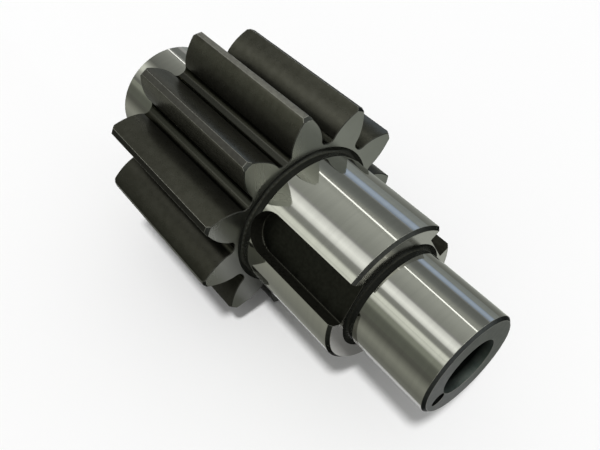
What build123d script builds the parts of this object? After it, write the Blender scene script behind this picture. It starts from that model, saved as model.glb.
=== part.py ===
"""Pinion shaft: a spur gear, a keyed hub seat and two bearing journals cut from one piece of steel.

Sizes are millimetres. The shaft lies along X with its front end towards +X, and Z is up. The origin is on
the axis, in the middle of the gear's face width. A tooth points straight up, so the shaft rests on the two
teeth beside the gap at the bottom. Angles round the shaft are counted from the top towards -Y.
"""
import os
from math import acos, atan2, cos, degrees, hypot, pi, radians, sin, sqrt, tan

from build123d import *

# Toothing, as an involute rack would cut it
TEETH = 11
MODULE = 14.0
PRESSURE_ANGLE = 20.0
PROFILE_SHIFT = 0.65
TIP_SHORTENING = 0.14
DEDENDUM = 1.25
ROOT_FILLET = 5.2
INVOLUTE_ARCS = 3
GEAR_WIDTH = 143.0
TIP_CHAMFER_LENGTH = 2.8
TIP_CHAMFER_DEPTH = 2.1
TOOTH_EDGE_BREAK = 0.6

# Turned and ground lengths of the shaft
FRONT_DIAMETER = 85.0
FRONT_LENGTH = 74.0
FRONT_CHAMFER = 2.3
SEAT_DIAMETER = 122.0
SEAT_LENGTH = 100.0
SEAT_CHAMFER = 2.5
REAR_DIAMETER = 100.0
REAR_LENGTH = 64.0
REAR_CHAMFER = 2.3

# Undercut in each corner, where a grinding wheel has to run out
RELIEF_DEPTH = 0.8
RELIEF_BEVEL = 1.2
RELIEF_RISE = 4.3
RELIEF_RAMP = 30.0
FRONT_RELIEF_LENGTH = 5.2
SEAT_RELIEF_LENGTH = 6.6
REAR_RELIEF_LENGTH = 6.6

# Keyways of the hub seat, open at its shoulder and round at the gear end
KEYWAY_ANGLES = (60.0, -60.0)
KEYWAY_WIDTH = 35.0
KEYWAY_DEPTH = 13.8
KEYWAY_END_GAP = 2.3
KEYWAY_FILLET = 1.0

# Holes in the two end faces
BORE_DIAMETER = 48.0
BORE_DEPTH = 120.0
PIN_HOLE_DIAMETER = 12.0
PIN_HOLE_DEPTH = 25.0
PIN_HOLE_RADIUS = 30.0
PIN_HOLE_ANGLE = 120.0
DRILL_POINT = 118.0
CENTRE_MOUTH_DIAMETER = 20.0
CENTRE_PILOT_DIAMETER = 8.0
CENTRE_PILOT_DEPTH = 24.0
CENTRE_CONE = 60.0

# How far a cutting shape stands clear of the surface that it enters
OVERRUN = 0.5

# Stations along the shaft
GEAR_FRONT = GEAR_WIDTH / 2
GEAR_BACK = -GEAR_WIDTH / 2
SHOULDER = GEAR_FRONT + SEAT_LENGTH
FRONT_END = SHOULDER + FRONT_LENGTH
REAR_END = GEAR_BACK - REAR_LENGTH

# Radii of the toothing
PITCH_RADIUS = MODULE * TEETH / 2
BASE_RADIUS = PITCH_RADIUS * cos(radians(PRESSURE_ANGLE))
TIP_RADIUS = PITCH_RADIUS + MODULE * (1 + PROFILE_SHIFT - TIP_SHORTENING)
ROOT_RADIUS = PITCH_RADIUS - MODULE * (DEDENDUM - PROFILE_SHIFT)


def polar(radius, angle):
    """Point of the cross-section, with the angle in radians from the middle of a tooth space."""
    return (radius * cos(angle), radius * sin(angle))


def involute_angle(radius):
    """Angle in radians that an involute turns through between the base circle and this radius."""
    pressure = acos(min(1.0, BASE_RADIUS / radius))
    return tan(pressure) - pressure


def space_half_angle(radius, grow):
    """Half the width of a tooth space in radians, with its flanks moved outwards by grow."""
    shift = 2 * PROFILE_SHIFT * tan(radians(PRESSURE_ANGLE))
    tooth_at_base = (pi / 2 + shift) / TEETH + involute_angle(PITCH_RADIUS)
    space_at_base = pi / TEETH - tooth_at_base
    return space_at_base + grow / BASE_RADIUS + involute_angle(max(radius, BASE_RADIUS))


def root_corner(grow):
    """Fillet between root circle and flank: its centre's radius and angle, and where the flank starts.

    A small fillet touches the radial line below the base circle, and a large one the involute itself.
    """
    fillet = ROOT_FILLET + grow
    centre_radius = ROOT_RADIUS - grow + fillet
    roll = sqrt(max(0.0, centre_radius**2 - BASE_RADIUS**2))
    if roll > fillet:
        centre_angle = space_half_angle(centre_radius, grow) - fillet / BASE_RADIUS
        return centre_radius, centre_angle, hypot(BASE_RADIUS, roll - fillet)
    corner = space_half_angle(BASE_RADIUS, grow)
    centre_angle = corner - atan2(fillet, sqrt(centre_radius**2 - fillet**2))
    return centre_radius, centre_angle, sqrt(centre_radius**2 - fillet**2)


def flank(grow, side):
    """Edges of one side of a tooth space from the root circle outwards, on side +1 or -1."""
    centre_radius, centre_angle, start = root_corner(grow)
    foot = polar(ROOT_RADIUS - grow, side * centre_angle)
    touch = polar(start, side * space_half_angle(start, grow))
    centre = Vector(*polar(centre_radius, side * centre_angle))
    middle = (Vector(*foot) + Vector(*touch)) * 0.5 - centre
    bulge = centre + middle.normalized() * (ROOT_FILLET + grow)
    edges = [ThreePointArc(foot, (bulge.X, bulge.Y), touch)]
    rise_from = max(start, BASE_RADIUS)
    if start < BASE_RADIUS:
        edges.append(Line(touch, polar(BASE_RADIUS, side * space_half_angle(BASE_RADIUS, grow))))
    steps = 2 * INVOLUTE_ARCS
    outside = TIP_RADIUS + OVERRUN
    rolls = [sqrt(radius**2 - BASE_RADIUS**2) for radius in (rise_from, outside)]
    radii = [hypot(BASE_RADIUS, rolls[0] + (rolls[1] - rolls[0]) * i / steps) for i in range(steps + 1)]
    points = [polar(radius, side * space_half_angle(radius, grow)) for radius in radii]
    return edges + [ThreePointArc(*points[i : i + 3]) for i in range(0, steps, 2)]


def space_face(grow):
    """Cross-section of one tooth space, opening along +X of its own plane."""
    root = ROOT_RADIUS - grow
    land = root_corner(grow)[1]
    outside = TIP_RADIUS + OVERRUN
    mouth = space_half_angle(outside, grow)
    floor = ThreePointArc(polar(root, -land), (root, 0), polar(root, land))
    top = ThreePointArc(polar(outside, -mouth), (outside, 0), polar(outside, mouth))
    return make_face([floor, top] + flank(grow, 1) + flank(grow, -1))


def across(x):
    """Plane square to the shaft at station x, with its own X axis pointing up."""
    return Plane(origin=(x, 0, 0), x_dir=(0, 0, 1), z_dir=(1, 0, 0))


def space_cutter():
    """Solid that cuts one tooth space at the top of the gear and breaks its edges at both end faces."""
    inner = GEAR_WIDTH / 2 - TOOTH_EDGE_BREAK
    outer = GEAR_WIDTH / 2 + OVERRUN
    flare = TOOTH_EDGE_BREAK + OVERRUN
    sections = [(-outer, flare), (-inner, 0), (inner, 0), (outer, flare)]
    return loft([across(x) * space_face(grow) for x, grow in sections], ruled=True)


def gear_blank():
    """Turned gear disc with its outer edges chamfered, before the teeth are cut."""
    half = GEAR_WIDTH / 2
    rim = TIP_RADIUS - TIP_CHAMFER_DEPTH
    outline = Polyline(
        (-half, 0),
        (-half, rim),
        (-half + TIP_CHAMFER_LENGTH, TIP_RADIUS),
        (half - TIP_CHAMFER_LENGTH, TIP_RADIUS),
        (half, rim),
        (half, 0),
        close=True,
    )
    return revolve(make_face(outline), Axis.X, 360)


def gear():
    """Gear disc with a tooth pointing straight up."""
    spaces = [Rot(X=360 * (i + 0.5) / TEETH) * space_cutter() for i in range(TEETH)]
    return gear_blank() - spaces


def journal(start, end, diameter, bevel):
    """Cylinder from station start to station end, with a chamfer at its end."""
    radius = diameter / 2
    step = bevel if end > start else -bevel
    outline = Polyline((start, 0), (start, radius), (end - step, radius), (end, radius - bevel), (end, 0), close=True)
    return revolve(make_face(outline), Axis.X, 360)


def relief(wall, away, diameter, length):
    """Ring that undercuts the corner between a wall and the journal on its away side, +1 or -1."""
    seat = diameter / 2
    floor = seat - RELIEF_DEPTH
    rim = seat + RELIEF_RISE
    ramp = RELIEF_DEPTH / tan(radians(RELIEF_RAMP))
    profile = [
        (-RELIEF_DEPTH, floor + RELIEF_BEVEL),
        (RELIEF_BEVEL - RELIEF_DEPTH, floor),
        (length - ramp, floor),
        (length, seat),
        (length, rim),
        (0, rim),
        (-RELIEF_DEPTH, rim - RELIEF_DEPTH),
    ]
    outline = Polyline([(wall + away * distance, radius) for distance, radius in profile], close=True)
    return revolve(make_face(outline), Axis.X, 360)


def keyway(angle):
    """Slot for one key: flat floor, square walls, round end short of the gear, open at the shoulder."""
    floor = SEAT_DIAMETER / 2 - KEYWAY_DEPTH
    height = KEYWAY_DEPTH + OVERRUN
    round_centre = GEAR_FRONT + KEYWAY_END_GAP + KEYWAY_WIDTH / 2
    reach = SHOULDER + KEYWAY_WIDTH - round_centre
    run = Pos(round_centre + reach / 2, 0, floor) * Rectangle(reach, KEYWAY_WIDTH)
    end = Pos(round_centre, 0, floor) * Circle(KEYWAY_WIDTH / 2)
    slot = extrude(run + end, amount=height)
    slot = fillet(slot.faces().sort_by(Axis.Z)[0].edges(), KEYWAY_FILLET)
    return Rot(X=angle) * slot


def drilled_hole(diameter, depth):
    """Hole along -X from the front end face, on the axis, with the cone that a drill leaves."""
    radius = diameter / 2
    point = radius / tan(radians(DRILL_POINT / 2))
    outline = Polyline(
        (FRONT_END + OVERRUN, 0),
        (FRONT_END + OVERRUN, radius),
        (FRONT_END - depth, radius),
        (FRONT_END - depth - point, 0),
        close=True,
    )
    return revolve(make_face(outline), Axis.X, 360)


def pin_hole():
    """Hole for a locating pin, beside the bore in the front end face."""
    return Rot(X=PIN_HOLE_ANGLE) * Pos(0, 0, PIN_HOLE_RADIUS) * drilled_hole(PIN_HOLE_DIAMETER, PIN_HOLE_DEPTH)


def centre_hole():
    """Centre in the rear end face, on which the shaft turned while it was ground."""
    mouth = CENTRE_MOUTH_DIAMETER / 2
    pilot = CENTRE_PILOT_DIAMETER / 2
    slope = tan(radians(CENTRE_CONE / 2))
    point = pilot / tan(radians(DRILL_POINT / 2))
    outline = Polyline(
        (REAR_END - OVERRUN, 0),
        (REAR_END - OVERRUN, mouth + OVERRUN * slope),
        (REAR_END + (mouth - pilot) / slope, pilot),
        (REAR_END + CENTRE_PILOT_DEPTH, pilot),
        (REAR_END + CENTRE_PILOT_DEPTH + point, 0),
        close=True,
    )
    return revolve(make_face(outline), Axis.X, 360)


def pinion_shaft():
    """The whole piece: gear and journals joined, then grooved, keyed and drilled."""
    body = gear()
    body += journal(0, SHOULDER, SEAT_DIAMETER, SEAT_CHAMFER)
    body += journal(0, FRONT_END, FRONT_DIAMETER, FRONT_CHAMFER)
    body += journal(0, REAR_END, REAR_DIAMETER, REAR_CHAMFER)
    body -= relief(SHOULDER, 1, FRONT_DIAMETER, FRONT_RELIEF_LENGTH)
    body -= relief(GEAR_FRONT, 1, SEAT_DIAMETER, SEAT_RELIEF_LENGTH)
    body -= relief(GEAR_BACK, -1, REAR_DIAMETER, REAR_RELIEF_LENGTH)
    for angle in KEYWAY_ANGLES:
        body -= keyway(angle)
    body -= drilled_hole(BORE_DIAMETER, BORE_DEPTH)
    body -= pin_hole()
    body -= centre_hole()
    return body


os.makedirs("parts", exist_ok=True)
shaft = pinion_shaft()
export_step(shaft, "parts/pinion_shaft.step")
box = shaft.bounding_box()
print(f"pinion_shaft: volume {shaft.volume / 1000:.1f} cm3, length {box.size.X:.1f} mm")
print(f"tip radius {TIP_RADIUS:.2f} mm, base radius {BASE_RADIUS:.2f} mm, root radius {ROOT_RADIUS:.2f} mm")
print(f"tooth land at the tip {2 * TIP_RADIUS * (pi / TEETH - space_half_angle(TIP_RADIUS, 0)):.2f} mm")
print(f"space floor {2 * degrees(root_corner(0)[1]):.2f} degrees wide")
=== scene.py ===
from math import cos, hypot, radians, sin, tan

import bpy
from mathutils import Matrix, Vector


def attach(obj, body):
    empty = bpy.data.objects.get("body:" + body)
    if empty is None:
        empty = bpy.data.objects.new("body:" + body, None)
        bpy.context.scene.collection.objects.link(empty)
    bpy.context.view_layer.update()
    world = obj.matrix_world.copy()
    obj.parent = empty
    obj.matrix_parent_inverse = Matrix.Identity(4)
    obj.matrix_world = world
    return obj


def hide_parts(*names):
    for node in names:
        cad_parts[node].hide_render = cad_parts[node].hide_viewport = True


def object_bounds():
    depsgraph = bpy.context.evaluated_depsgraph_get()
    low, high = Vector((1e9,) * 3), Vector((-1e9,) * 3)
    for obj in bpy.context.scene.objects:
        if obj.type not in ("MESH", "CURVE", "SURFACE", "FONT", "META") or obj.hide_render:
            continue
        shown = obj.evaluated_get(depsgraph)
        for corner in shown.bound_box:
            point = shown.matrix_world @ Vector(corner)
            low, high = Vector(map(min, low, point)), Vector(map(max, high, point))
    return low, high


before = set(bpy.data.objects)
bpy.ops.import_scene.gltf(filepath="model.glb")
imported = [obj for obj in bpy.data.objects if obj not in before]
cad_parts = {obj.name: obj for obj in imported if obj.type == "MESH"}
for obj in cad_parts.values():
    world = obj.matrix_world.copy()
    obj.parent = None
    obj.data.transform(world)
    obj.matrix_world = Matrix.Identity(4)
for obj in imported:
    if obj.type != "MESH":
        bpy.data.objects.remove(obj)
cad_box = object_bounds()

# Camera: held by hand about half a metre away, over the front end and a little to its left.
# The angles and the lens put the shaft where the photograph shows it, in a frame of 600 by 450.
camera = bpy.data.objects.new("camera", bpy.data.cameras.new("camera"))
bpy.context.scene.collection.objects.link(camera)
camera.location = (0.3413, -0.2325, 0.3747)
camera.rotation_euler = (radians(42.741), radians(-1.36), radians(51.27))
camera.data.lens = 38.45
camera.data.sensor_width = 36.0
camera.data.clip_start = 0.01
bpy.context.scene.camera = camera
bpy.context.scene.view_settings.view_transform = "Standard"

# Pinion shaft: one forging of alloy steel, turned, then hobbed, keyed and drilled, hardened and ground.
# Its facets are merged here into clean faces, so that each machined surface can get its own finish.
# Stations along its axis, from the middle of the gear, and radii are in millimetres.
rear_end, gear_face, shoulder, front_end = -135.5, 71.5, 171.5, 245.5
shaft = bpy.data.objects.new("steel_pinion_shaft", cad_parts["pinion_shaft"].data.copy())
shaft.data.materials.clear()
bpy.context.scene.collection.objects.link(shaft)
bpy.ops.object.select_all(action="DESELECT")
bpy.context.view_layer.objects.active = shaft
shaft.select_set(True)
bpy.ops.object.mode_set(mode="EDIT")
bpy.ops.mesh.select_all(action="SELECT")
bpy.ops.mesh.remove_doubles(threshold=2e-6)
bpy.ops.mesh.dissolve_limited(angle_limit=radians(0.4))
bpy.ops.mesh.customdata_custom_splitnormals_clear()
bpy.ops.object.mode_set(mode="OBJECT")

# Tooth flanks: hobbed and case-hardened, and left as they came from the furnace, with a dull skin of scale.
# They are dark olive grey and a little mottled. Their colour is painted paler towards the tips as a painted
# sheen, and darker deep in the tooth spaces and on the lowest teeth as painted shade.
# A slope is 0 on a face that runs along the axis, and 1 on one that is square to it.
along, oblique, square = (-1, 0.05), (0.3, 0.98), (0.99, 2)


def steel(name, colour, roughness, glancing=1.0, metal=1.0):
    """A new metal. Glancing below 1 dulls it seen edge on, and metal below 1 is for a dull skin of scale."""
    material = bpy.data.materials.new(name)
    material.use_nodes = True
    inputs = material.node_tree.nodes["Principled BSDF"].inputs
    inputs["Base Color"].default_value = (*colour, 1)
    inputs["Roughness"].default_value = roughness
    inputs["Specular Tint"].default_value = (glancing, glancing, glancing, 1)
    inputs["Metallic"].default_value = metal
    if metal < 1:
        inputs["Specular IOR Level"].default_value = 0.0
    return material


def speckle(material, size, detail, stretch=(1, 1, 1)):
    """Noise on the piece's own coordinates, with patches about this size in metres. Returns its output."""
    nodes, links = material.node_tree.nodes, material.node_tree.links
    place = nodes.new("ShaderNodeTexCoord")
    scale = nodes.new("ShaderNodeMapping")
    scale.inputs["Scale"].default_value = stretch
    noise = nodes.new("ShaderNodeTexNoise")
    noise.inputs["Scale"].default_value = 1 / size
    noise.inputs["Detail"].default_value = detail
    links.new(place.outputs["Object"], scale.inputs["Vector"])
    links.new(scale.outputs["Vector"], noise.inputs["Vector"])
    return noise.outputs["Fac"]


def vary(material, socket, low, high, size, detail, stretch=(1, 1, 1)):
    """Mottles an input of the metal between two levels: numbers, or colours of three numbers."""
    ramp = material.node_tree.nodes.new("ShaderNodeValToRGB")
    for end, position, level in zip(ramp.color_ramp.elements, (0.3, 0.7), (low, high)):
        end.position = position
        end.color = (level, level, level, 1) if isinstance(level, float) else (*level, 1)
    material.node_tree.links.new(speckle(material, size, detail, stretch), ramp.inputs["Fac"])
    metal = material.node_tree.nodes["Principled BSDF"]
    material.node_tree.links.new(ramp.outputs["Color"], metal.inputs[socket])


def grain(material, height, size, detail):
    """Raises the surface by this height in metres, in grains of this size."""
    bump = material.node_tree.nodes.new("ShaderNodeBump")
    bump.inputs["Distance"].default_value = height
    material.node_tree.links.new(speckle(material, size, detail), bump.inputs["Height"])
    metal = material.node_tree.nodes["Principled BSDF"]
    material.node_tree.links.new(bump.outputs["Normal"], metal.inputs["Normal"])


def dim(material, socket, kind, low, high):
    """Scales what runs into a socket of the metal, by low[1] where the radius, height or station on the piece
    is low[0] metres or less, to high[1] where it is high[0] metres or more."""
    nodes, links = material.node_tree.nodes, material.node_tree.links
    place = nodes.new("ShaderNodeTexCoord")
    parts = nodes.new("ShaderNodeSeparateXYZ")
    links.new(place.outputs["Object"], parts.inputs["Vector"])
    source = parts.outputs["X" if kind == "station" else "Z"]
    if kind == "radius":
        flat = nodes.new("ShaderNodeCombineXYZ")
        length = nodes.new("ShaderNodeVectorMath")
        length.operation = "LENGTH"
        links.new(parts.outputs["Y"], flat.inputs["Y"])
        links.new(parts.outputs["Z"], flat.inputs["Z"])
        links.new(flat.outputs["Vector"], length.inputs[0])
        source = length.outputs["Value"]
    change = nodes.new("ShaderNodeMapRange")
    for name, value in zip(("From Min", "To Min", "From Max", "To Max"), low + high):
        change.inputs[name].default_value = value
    links.new(source, change.inputs["Value"])
    scale = nodes.new("ShaderNodeVectorMath")
    scale.operation = "SCALE"
    metal = nodes["Principled BSDF"]
    links.new(metal.inputs[socket].links[0].from_socket, scale.inputs[0])
    links.new(change.outputs["Result"], scale.inputs["Scale"])
    links.new(scale.outputs["Vector"], metal.inputs[socket])


def finish(material, stations, radii=(-1, 200), slopes=(-1, 2), mirrored=False):
    """Gives the material to the faces of the shaft whose middle and slope lie within these ranges, and when
    mirrored also to those at the same stations behind the middle of the gear. Returns its material slot."""
    shaft.data.materials.append(material)
    slot = len(shaft.data.materials) - 1
    for face in shaft.data.polygons:
        corners = [shaft.data.vertices[index].co * 1000 for index in face.vertices]
        station = sum(corner.x for corner in corners) / len(corners)
        radius = sum(hypot(corner.y, corner.z) for corner in corners) / len(corners)
        found = (abs(station) if mirrored else station, radius, abs(face.normal.x))
        if all(low < value < high for value, (low, high) in zip(found, (stations, radii, slopes))):
            face.material_index = slot
    return slot


flank = steel("hardened_flank_painted_shade_and_sheen", (0.04, 0.038, 0.03), 0.3, 0.75, 0.74)
vary(flank, "Base Color", (0.028, 0.0277, 0.0215), (0.036, 0.0356, 0.0285), 0.006, 4)
vary(flank, "Roughness", 0.27, 0.33, 0.0015, 2)
grain(flank, 0.000015, 0.0006, 2)
# Painted sheen and shade: the colour rises towards the tips and falls down towards the roots.
dim(flank, "Base Color", "radius", (0.072, 0.8), (0.098, 1.5))
# Painted shade: the teeth that hang low, towards the floor, are darker.
dim(flank, "Base Color", "height", (-0.02, 0.42), (0.045, 1.04))
dim(flank, "Roughness", "radius", (0.09, 1.0), (0.097, 0.6))
finish(flank, stations=(rear_end - 1, front_end + 1))

# Roots and root fillets: the floor of each tooth space, cut by the tips of the hob and never touched again.
# The roots have a smooth sheen along the tooth, and the fillets beside them are duller, and painted darker as
# painted shade in the corners of the tooth spaces.
root_radius, fillet_radius = 68.75, 72.9
tooth = (-gear_face + 0.1, gear_face - 0.1)
hobbing_marks = (0.2, 1, 1)
root = steel("hobbed_root", (0.034, 0.034, 0.029), 0.26, 0.3)
vary(root, "Roughness", 0.22, 0.32, 0.004, 3, hobbing_marks)
finish(root, tooth, radii=(0, root_radius))
# Painted shade: the fillets are given a darker colour than the roots, for the shade in the corners of the
# tooth spaces.
fillet = steel("hobbed_fillet_painted_shade", (0.018, 0.018, 0.014), 0.36, 0.25)
vary(fillet, "Roughness", 0.3, 0.42, 0.004, 3)
finish(fillet, tooth, radii=(root_radius, fillet_radius))

# Tip lands: the turned outside of the gear blank, which stays as a narrow strip along the top of each tooth.
# The steel is as dark as the flanks, and painted paler on the teeth that stand highest, as a painted
# highlight.
tip = steel("turned_tip_painted_highlight", (0.052, 0.051, 0.045), 0.3, 0.6)
vary(tip, "Base Color", (0.044, 0.043, 0.038), (0.06, 0.059, 0.052), 0.003, 3)
# Painted highlight: the colour rises on the teeth that stand highest.
dim(tip, "Base Color", "height", (0.086, 0.6), (0.097, 2.3))
finish(tip, tooth, radii=(97.6, 100), slopes=along)

# Keyways: two slots for the keys of the hub, milled before hardening with one round end and one open end.
# Their walls and floors are scaled nearly black, and a thin paler line runs where the two meet.
keyway = (73, shoulder - 0.1)
black = steel("scaled_recess", (0.018, 0.018, 0.014), 0.4, 0.25, 0.6)
vary(black, "Base Color", (0.0145, 0.0145, 0.0113), (0.0215, 0.0215, 0.0168), 0.003, 3)
finish(black, keyway, radii=(40, 60.45))
milled = steel("milled_floor", (0.021, 0.0212, 0.0175), 0.42, 0.25)
vary(milled, "Base Color", (0.017, 0.0172, 0.014), (0.026, 0.0262, 0.0215), 0.0025, 4)
vary(milled, "Roughness", 0.36, 0.48, 0.004, 2, (1, 0.2, 0.2))
finish(milled, keyway, radii=(40, 50.3), slopes=(-1, 0.01))

# Undercuts and chamfers: turned grooves where the grinding wheel runs out, and turned corners beside them.
# None of them is ground, so they stay dark and dull, with fine marks around the shaft. The narrow strip of
# each groove that is level with the face beside it is scaled like the flanks.
undercut_end, seat_end, groove_end = 78, 169.1, 176.75
gear_plane, shoulder_plane = (gear_face - 0.02, gear_face + 0.02), (shoulder - 0.02, shoulder + 0.02)
turning_marks = (1, 0.1, 0.1)
relief = steel("turned_relief", (0.042, 0.043, 0.038), 0.6, 0.25)
vary(relief, "Base Color", (0.034, 0.035, 0.031), (0.05, 0.051, 0.045), 0.002, 3, turning_marks)
front_undercut = finish(relief, stations=(gear_face - 0.9, undercut_end + 0.1), radii=(59.9, 65.4))
finish(relief, stations=(-undercut_end - 0.1, -gear_face + 0.9), radii=(49.1, 65.4))
finish(flank, gear_plane, radii=(49.1, 65.4), mirrored=True)
groove = steel("turned_groove", (0.028, 0.029, 0.026), 0.7, 0.25)
vary(groove, "Base Color", (0.023, 0.024, 0.021), (0.033, 0.034, 0.031), 0.002, 3, turning_marks)
front_groove = finish(groove, stations=(shoulder - 0.9, groove_end), radii=(38, 46.9))
finish(flank, shoulder_plane, radii=(38, 46.9))
chamfer = steel("turned_chamfer", (0.027, 0.028, 0.026), 0.38, 0.3)
vary(chamfer, "Base Color", (0.022, 0.023, 0.021), (0.033, 0.034, 0.032), 0.003, 3)
finish(chamfer, stations=(seat_end - 0.1, shoulder - 0.05), radii=(58, 62))
finish(chamfer, (gear_face - 2.9, gear_face - 0.05), (95.9, 100), oblique, mirrored=True)
rim = steel("turned_rim", (0.036, 0.038, 0.038), 0.38, 0.35)
vary(rim, "Base Color", (0.03, 0.032, 0.032), (0.042, 0.044, 0.044), 0.003, 3)
finish(rim, stations=(front_end - 2.3, front_end - 0.05), radii=(40, 43))
finish(rim, stations=(rear_end + 0.05, rear_end + 2.3), radii=(47, 51))
tooth_edge = steel("hobbed_edge", (0.03, 0.03, 0.027), 0.4, 0.4)
vary(tooth_edge, "Base Color", (0.024, 0.024, 0.021), (0.036, 0.036, 0.033), 0.002, 2)
tooth_ends = finish(tooth_edge, (gear_face - 0.7, gear_face - 0.05), (66.5, 98), oblique, mirrored=True)

# Gear faces: the two ends of the gear, ground flat after hardening.
# The end of each tooth is bare grey steel there, painted darker towards the underside as painted shade.
face_steel = steel("ground_face_painted_shade", (0.225, 0.23, 0.21), 0.3)
vary(face_steel, "Base Color", (0.219, 0.224, 0.205), (0.231, 0.236, 0.216), 0.01, 3)
vary(face_steel, "Roughness", 0.26, 0.31, 0.02, 3, (1, 1, 0.2))
# Painted shade: the colour falls towards the underside of the gear.
dim(face_steel, "Base Color", "height", (-0.055, 0.55), (0.02, 1.08))
finish(face_steel, gear_plane, slopes=square, mirrored=True)

# Seat and journals: the cylinders that carry the hub and the two bearings, ground between centres.
# They are bare bright steel with fine marks around the shaft, and they mirror the lamps as long stripes.
seat, front_journal, rear_journal = 61, 42.5, 50
ground = steel("ground_cylinder", (0.225, 0.225, 0.205), 0.07)
vary(ground, "Base Color", (0.217, 0.217, 0.198), (0.233, 0.233, 0.212), 0.0035, 3, (1, 0.06, 0.06))
finish(ground, (undercut_end, seat_end), (seat - 0.5, seat + 0.1), along)
finish(ground, (groove_end, front_end), (front_journal - 0.4, front_journal + 0.1), along)
finish(ground, (rear_end, -undercut_end), (rear_journal - 0.4, rear_journal + 0.1), along)

# Front shoulder: the ring at the end of the seat, against which the front bearing is pressed.
# It is ground in the same setting as the journal, so it is bright enough to mirror it.
shoulder_steel = steel("ground_shoulder", (0.33, 0.325, 0.305), 0.16)
vary(shoulder_steel, "Roughness", 0.13, 0.2, 0.005, 3)
finish(shoulder_steel, shoulder_plane, slopes=square)

# End faces and holes: faced, bored and drilled on the lathe, then blued by the furnace.
# The bore lies on the axis, with a pin hole beside it, and a small centre hole is in the rear end.
end_steel = steel("faced_end", (0.13, 0.135, 0.13), 0.4, 0.5)
vary(end_steel, "Base Color", (0.11, 0.115, 0.112), (0.15, 0.156, 0.15), 0.004, 4)
finish(end_steel, stations=(front_end - 0.1, front_end + 0.1), slopes=square)
finish(end_steel, stations=(rear_end - 0.1, rear_end + 0.1), slopes=square)
drilled = steel("drilled_hole_painted_shade", (0.12, 0.14, 0.13), 0.42)
vary(drilled, "Base Color", (0.1, 0.125, 0.116), (0.15, 0.17, 0.158), 0.006, 3)
# Painted shade: the holes are painted darker from just inside the mouth of the bore inward, so the rear
# centre hole is dark too, and the last two millimetres at the mouth are painted a little paler as painted
# light.
dim(drilled, "Base Color", "station", (0.2375, 0.06), (0.2435, 1.15))
finish(drilled, stations=(110, front_end - 0.1), radii=(-1, 24.9))
finish(drilled, stations=(rear_end + 0.1, -105), radii=(-1, 10.5))
pin_hole = steel("pin_hole", (0.012, 0.0125, 0.0125), 0.45)
vary(pin_hole, "Base Color", (0.01, 0.0105, 0.0105), (0.014, 0.0145, 0.0145), 0.003, 3)
finish(pin_hole, stations=(219, front_end - 0.1), radii=(24.9, 36.5))

# Corners: every sharp edge is broken by hand with a stone, which leaves a thin bright line.
# The corners of the keyways are dull like the rest of them. The front undercut and groove are shaded round,
# and the ground cylinders and flat faces are given their true normals.
corner = steel("keyway_corner", (0.07, 0.069, 0.06), 0.55, 0.5)
vary(corner, "Base Color", (0.055, 0.054, 0.047), (0.085, 0.084, 0.073), 0.002, 3)
worn = steel("stoned_edge", (0.18, 0.177, 0.16), 0.34)
vary(worn, "Base Color", (0.12, 0.118, 0.106), (0.24, 0.236, 0.214), 0.002, 3)
shaft.data.materials.append(corner)
shaft.data.materials.append(worn)
bpy.ops.object.shade_smooth_by_angle(angle=radians(25))
finishes = list(shaft.data.materials)
sides = {}
for face in shaft.data.polygons:
    for key in face.edge_keys:
        sides.setdefault(key, set()).add(face.material_index)
round_grooves = {front_undercut, front_groove}
weights = shaft.data.attributes.new("bevel_weight_edge", "FLOAT", "EDGE")
for edge in shaft.data.edges:
    if sides[edge.key] <= round_grooves:
        edge.use_edge_sharp = False
    stoned = edge.use_edge_sharp and not sides[edge.key] & (round_grooves | {tooth_ends})
    weights.data[edge.index].value = 1.0 if stoned else 0.0
edges = shaft.modifiers.new("edges", "BEVEL")
edges.width = 0.00015
edges.use_clamp_overlap = False
edges.segments = 2
edges.limit_method = "WEIGHT"
edges.harden_normals = True
edges.material = finishes.index(worn)
bpy.ops.object.modifier_apply(modifier="edges")
bpy.ops.object.mode_set(mode="EDIT")
bpy.ops.mesh.select_all(action="SELECT")
bpy.ops.mesh.remove_doubles(threshold=1e-6)
bpy.ops.object.mode_set(mode="OBJECT")
normals = [tuple(normal.vector) for normal in shaft.data.corner_normals]
for face in shaft.data.polygons:
    station, radius = face.center.x * 1000, hypot(face.center.y, face.center.z) * 1000
    keyway_rim = undercut_end + 0.3 < station < seat_end - 0.4 and radius < seat + 0.1
    keyway_floor_corner = 73.5 < station < shoulder + 0.1 and radius < 50.6
    if finishes[face.material_index] == worn and (keyway_rim or keyway_floor_corner):
        face.material_index = finishes.index(corner)
    for loop in face.loop_indices:
        place = shaft.data.vertices[shaft.data.loops[loop].vertex_index].co
        reach = hypot(place.y, place.z)
        if finishes[face.material_index] == ground:
            normals[loop] = (0, place.y / reach, place.z / reach)
        if finishes[face.material_index] in (face_steel, shoulder_steel, end_steel):
            normals[loop] = tuple(face.normal)
shaft.data.normals_split_custom_set(normals)
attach(shaft, "root")
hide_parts("pinion_shaft")

# Floor: a plain white board, on which the shaft rests on the tips of its lowest teeth.
# Its matt coat keeps the soft shadow of the shaft and shows no reflection.
floor_height = cad_box[0].z
bpy.ops.mesh.primitive_plane_add(size=12, location=(0, 0, floor_height))
floor = bpy.context.active_object
floor.name = "floor"
board = bpy.data.materials.new("white_board")
board.use_nodes = True
coat = board.node_tree.nodes["Principled BSDF"].inputs
coat["Base Color"].default_value = (0.93, 0.93, 0.93, 1)
coat["Roughness"].default_value = 0.8
coat["Specular IOR Level"].default_value = 0.2
floor.data.materials.append(board)

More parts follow.
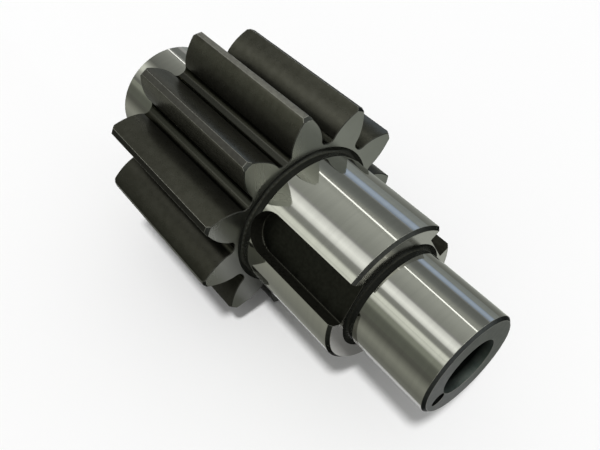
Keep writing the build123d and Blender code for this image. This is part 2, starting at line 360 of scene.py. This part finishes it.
# Room and key light: pale walls on every side, and one high soft lamp that keeps the shaft's shadow close.
# The steel mirrors the walls at their own brightness, and the floor is lit half by them and half by the lamp.
world = bpy.data.worlds.new("pale_room")
world.use_nodes = True
nodes, links = world.node_tree.nodes, world.node_tree.links
room = nodes["Background"]
room.inputs["Color"].default_value = (0.9, 0.9, 0.9, 1)
room.inputs["Strength"].default_value = 0.49
walls = nodes.new("ShaderNodeBackground")
walls.inputs["Color"].default_value = (0.9, 0.9, 0.9, 1)
path = nodes.new("ShaderNodeLightPath")
seen = nodes.new("ShaderNodeMath")
seen.operation = "MAXIMUM"
choice = nodes.new("ShaderNodeMixShader")
links.new(path.outputs["Is Camera Ray"], seen.inputs[0])
links.new(path.outputs["Is Glossy Ray"], seen.inputs[1])
links.new(seen.outputs["Value"], choice.inputs["Fac"])
links.new(room.outputs["Background"], choice.inputs[1])
links.new(walls.outputs["Background"], choice.inputs[2])
links.new(choice.outputs["Shader"], nodes["World Output"].inputs["Surface"])
bpy.context.scene.world = world
key_data = bpy.data.lights.new("key_lamp", "SUN")
key_data.energy = 2.04
key_data.angle = radians(7)
key_lamp = bpy.data.objects.new("key_lamp", key_data)
bpy.context.scene.collection.objects.link(key_lamp)
key_lamp.rotation_euler = (radians(16), radians(12), 0)
key_lamp.visible_glossy = False

# Strip lamp: one long thin tube across the ceiling, behind the shaft and a little askew to it.
# It lights nothing else, and every ground cylinder mirrors it as a thin bright line.
lamp_data = bpy.data.lights.new("strip_lamp", "AREA")
lamp_data.shape = "RECTANGLE"
lamp_data.size = 6.0
lamp_data.size_y = 0.075
lamp_data.energy = 6.4
lamp = bpy.data.objects.new("strip_lamp", lamp_data)
bpy.context.scene.collection.objects.link(lamp)
lamp.location = (-1.5, 1.188, 1.74)
lamp.rotation_euler = (0, 0, radians(-16))
lamp.visible_camera = False
lamp.visible_diffuse = False

# Cards and mats: boards around the shaft that only the steel mirrors, as a photographer sets them for metal.
# The cards stand two metres off along the shaft and make the pale and dark stripes on its cylinders.
# The mats lie on the floor and set what its lower sides mirror.
neutral, warm, cool = (1, 1.02, 0.95), (1, 1.05, 0.9), (1, 1.05, 1.02)
greenish, straw, sky = (1, 1.03, 0.97), (1, 1.04, 0.95), (1, 1.18, 1.5)
behind, beside, all_along = (-3.6, -1.85), (-1.8, 0.5), (-3.5, 0.5)
near_front, far_front = (0.5, 1.2), (1.2, 3.4)


def glow(board, stops):
    """Makes a board shine only into the polished steel, with colours that fade across its width."""
    top = max(max(level) for place, level in stops)
    paper = bpy.data.materials.new(board.name)
    paper.use_nodes = True
    nodes, links = paper.node_tree.nodes, paper.node_tree.links
    nodes.remove(nodes["Principled BSDF"])
    place = nodes.new("ShaderNodeTexCoord")
    across = nodes.new("ShaderNodeSeparateXYZ")
    share = nodes.new("ShaderNodeMapRange")
    share.inputs["From Min"].default_value = 0.5
    share.inputs["From Max"].default_value = -0.5
    fade = nodes.new("ShaderNodeValToRGB")
    ramp = fade.color_ramp
    while len(ramp.elements) < len(stops):
        ramp.elements.new(1.0)
    for element, (position, level) in zip(ramp.elements, stops):
        element.position = position
        element.color = (level[0] / top, level[1] / top, level[2] / top, 1)
    shine = nodes.new("ShaderNodeEmission")
    shine.inputs["Strength"].default_value = top
    links.new(place.outputs["Object"], across.inputs["Vector"])
    links.new(across.outputs["Y"], share.inputs["Value"])
    links.new(share.outputs["Result"], fade.inputs["Fac"])
    links.new(fade.outputs["Color"], shine.inputs["Color"])
    links.new(shine.outputs["Emission"], nodes["Material Output"].inputs["Surface"])
    board.data.materials.append(paper)
    board.visible_camera = False
    board.visible_diffuse = False
    board.visible_shadow = False


def card(name, stops, tint, ends=beside):
    """A long card between two stations, with its brightness at angles from the top towards -Y, in degrees."""
    distance = 2.0
    low, high = stops[0][0], stops[-1][0]
    middle, half = radians((low + high) / 2), radians((high - low) / 2)
    place = ((ends[0] + ends[1]) / 2, -distance * sin(middle), distance * cos(middle))
    bpy.ops.mesh.primitive_plane_add(size=1, location=place, rotation=(middle, 0, 0))
    board = bpy.context.active_object
    board.name = name
    board.scale = (ends[1] - ends[0], 2 * distance * tan(half), 1)
    glow(board, [(0.5 + 0.5 * tan(radians(angle) - middle) / tan(half), [level * part for part in tint])
                 for angle, level in stops])


def mat(name, stops, tint, ends):
    """A sheet on the floor between two stations, with its brightness at places along Y, the highest first."""
    high, low = stops[0][0], stops[-1][0]
    place = ((ends[0] + ends[1]) / 2, (low + high) / 2, floor_height + 0.002)
    bpy.ops.mesh.primitive_plane_add(size=1, location=place)
    board = bpy.context.active_object
    board.name = name
    board.scale = (ends[1] - ends[0], high - low, 1)
    glow(board, [((high - y) / (high - low), [level * part for part in tint]) for y, level in stops])


card("ceiling", [(-38, 0.72), (-34, 0.95), (-21, 1.2), (-14, 1.15), (0, 0.96), (10, 0.86)], greenish)
card("soft_box_high", [(12.5, 1.0), (15.5, 2.2), (25, 3.2), (29, 2.8), (32, 2.2), (34, 1.0)], (1, 1.01, 1))
card("gap_card", [(34, 0.9), (38, 0.77), (42.5, 0.8)], (1, 1.02, 0.97))
card("soft_box_low", [(42.5, 0.9), (46, 2.4), (51, 2.45), (53, 1.9), (54.5, 2.3), (58, 2.1), (62, 1.0)],
     neutral)
card("wall_left", [(62, 0.82), (70, 0.76), (75, 0.42), (80, 0.36), (91, 0.36), (100, 0.3)], warm, all_along)
card("wall_right", [(-59, 0.5), (-55, 0.43), (-46, 0.46), (-40, 0.57), (-38, 0.7)], cool, (-1.85, 0.5))
card("wall_right_far", [(-64, 0.45), (-46, 0.5)], cool, behind)
card("ceiling_far", [(-37, 0.97), (-29, 0.78), (-10, 0.6), (8, 0.45)], greenish, behind)
card("window", [(-74, 0.75), (-71, 1.05), (-67, 1.15), (-63.5, 1.0), (-60, 0.6)], sky)
card("low_wall_right", [(-92.5, 0.55), (-86, 0.6), (-79, 0.72), (-74, 0.7)], (1, 1.07, 1.05), all_along)
card("soft_box_far", [(8, 0.5), (13, 0.8), (20, 1.5), (26, 2.2), (34, 2.2), (41, 1.3), (53, 0.9), (57, 0.5),
                      (66, 0.5)], neutral, behind)
card("near_front_wall", [(-95, 0.9), (-70, 0.8), (-44, 0.76), (-35, 1.1)], cool, near_front)
card("near_front_top", [(-35, 1.1), (-26, 1.64), (-11, 2.6), (7, 2.95), (20, 2.4), (29, 1.4), (35, 0.8)],
     neutral, near_front)
card("near_front_low", [(35, 0.8), (40, 0.4), (60, 0.4), (100, 1.0)], neutral, near_front)
card("far_front_wall", [(-95, 1.45), (-70, 1.4), (-57, 1.5), (-45, 1.8), (-35, 2.3)], cool, far_front)
card("far_front_top", [(-35, 2.3), (-25, 2.7), (-3, 2.65), (5, 2.3), (22, 1.5), (35, 0.5)],
     neutral, far_front)
card("far_front_low", [(35, 0.5), (52, 0.3), (75, 3.4), (100, 2.6)], neutral, far_front)
card("front_soft_box", [(20, 3.0), (24, 7.0), (34, 8.5), (46, 11.0), (54, 3.0)], neutral, (1.22, 1.43))
mat("floor_mat_left", [(-0.05, 0.4), (-0.09, 0.43), (-0.12, 0.58), (-0.17, 0.75), (-0.2, 0.75), (-0.29, 0.57),
                       (-0.38, 0.43), (-0.53, 0.31), (-2.2, 0.33)], (1, 1.02, 0.9), (-3.6, 0.26))
mat("floor_mat_right", [(2.2, 0.38), (0.5, 0.4), (0.22, 0.44), (0.16, 0.54), (0.05, 0.54)],
    straw, (-3.6, 0.19))
mat("front_mat_left", [(-0.03, 0.42), (-2.2, 0.45)], (1, 1.03, 0.9), (0.26, 1.7))
mat("front_mat_right", [(2.2, 0.46), (0.22, 0.5), (0.18, 0.68), (0.05, 0.7)], straw, (0.19, 1.7))
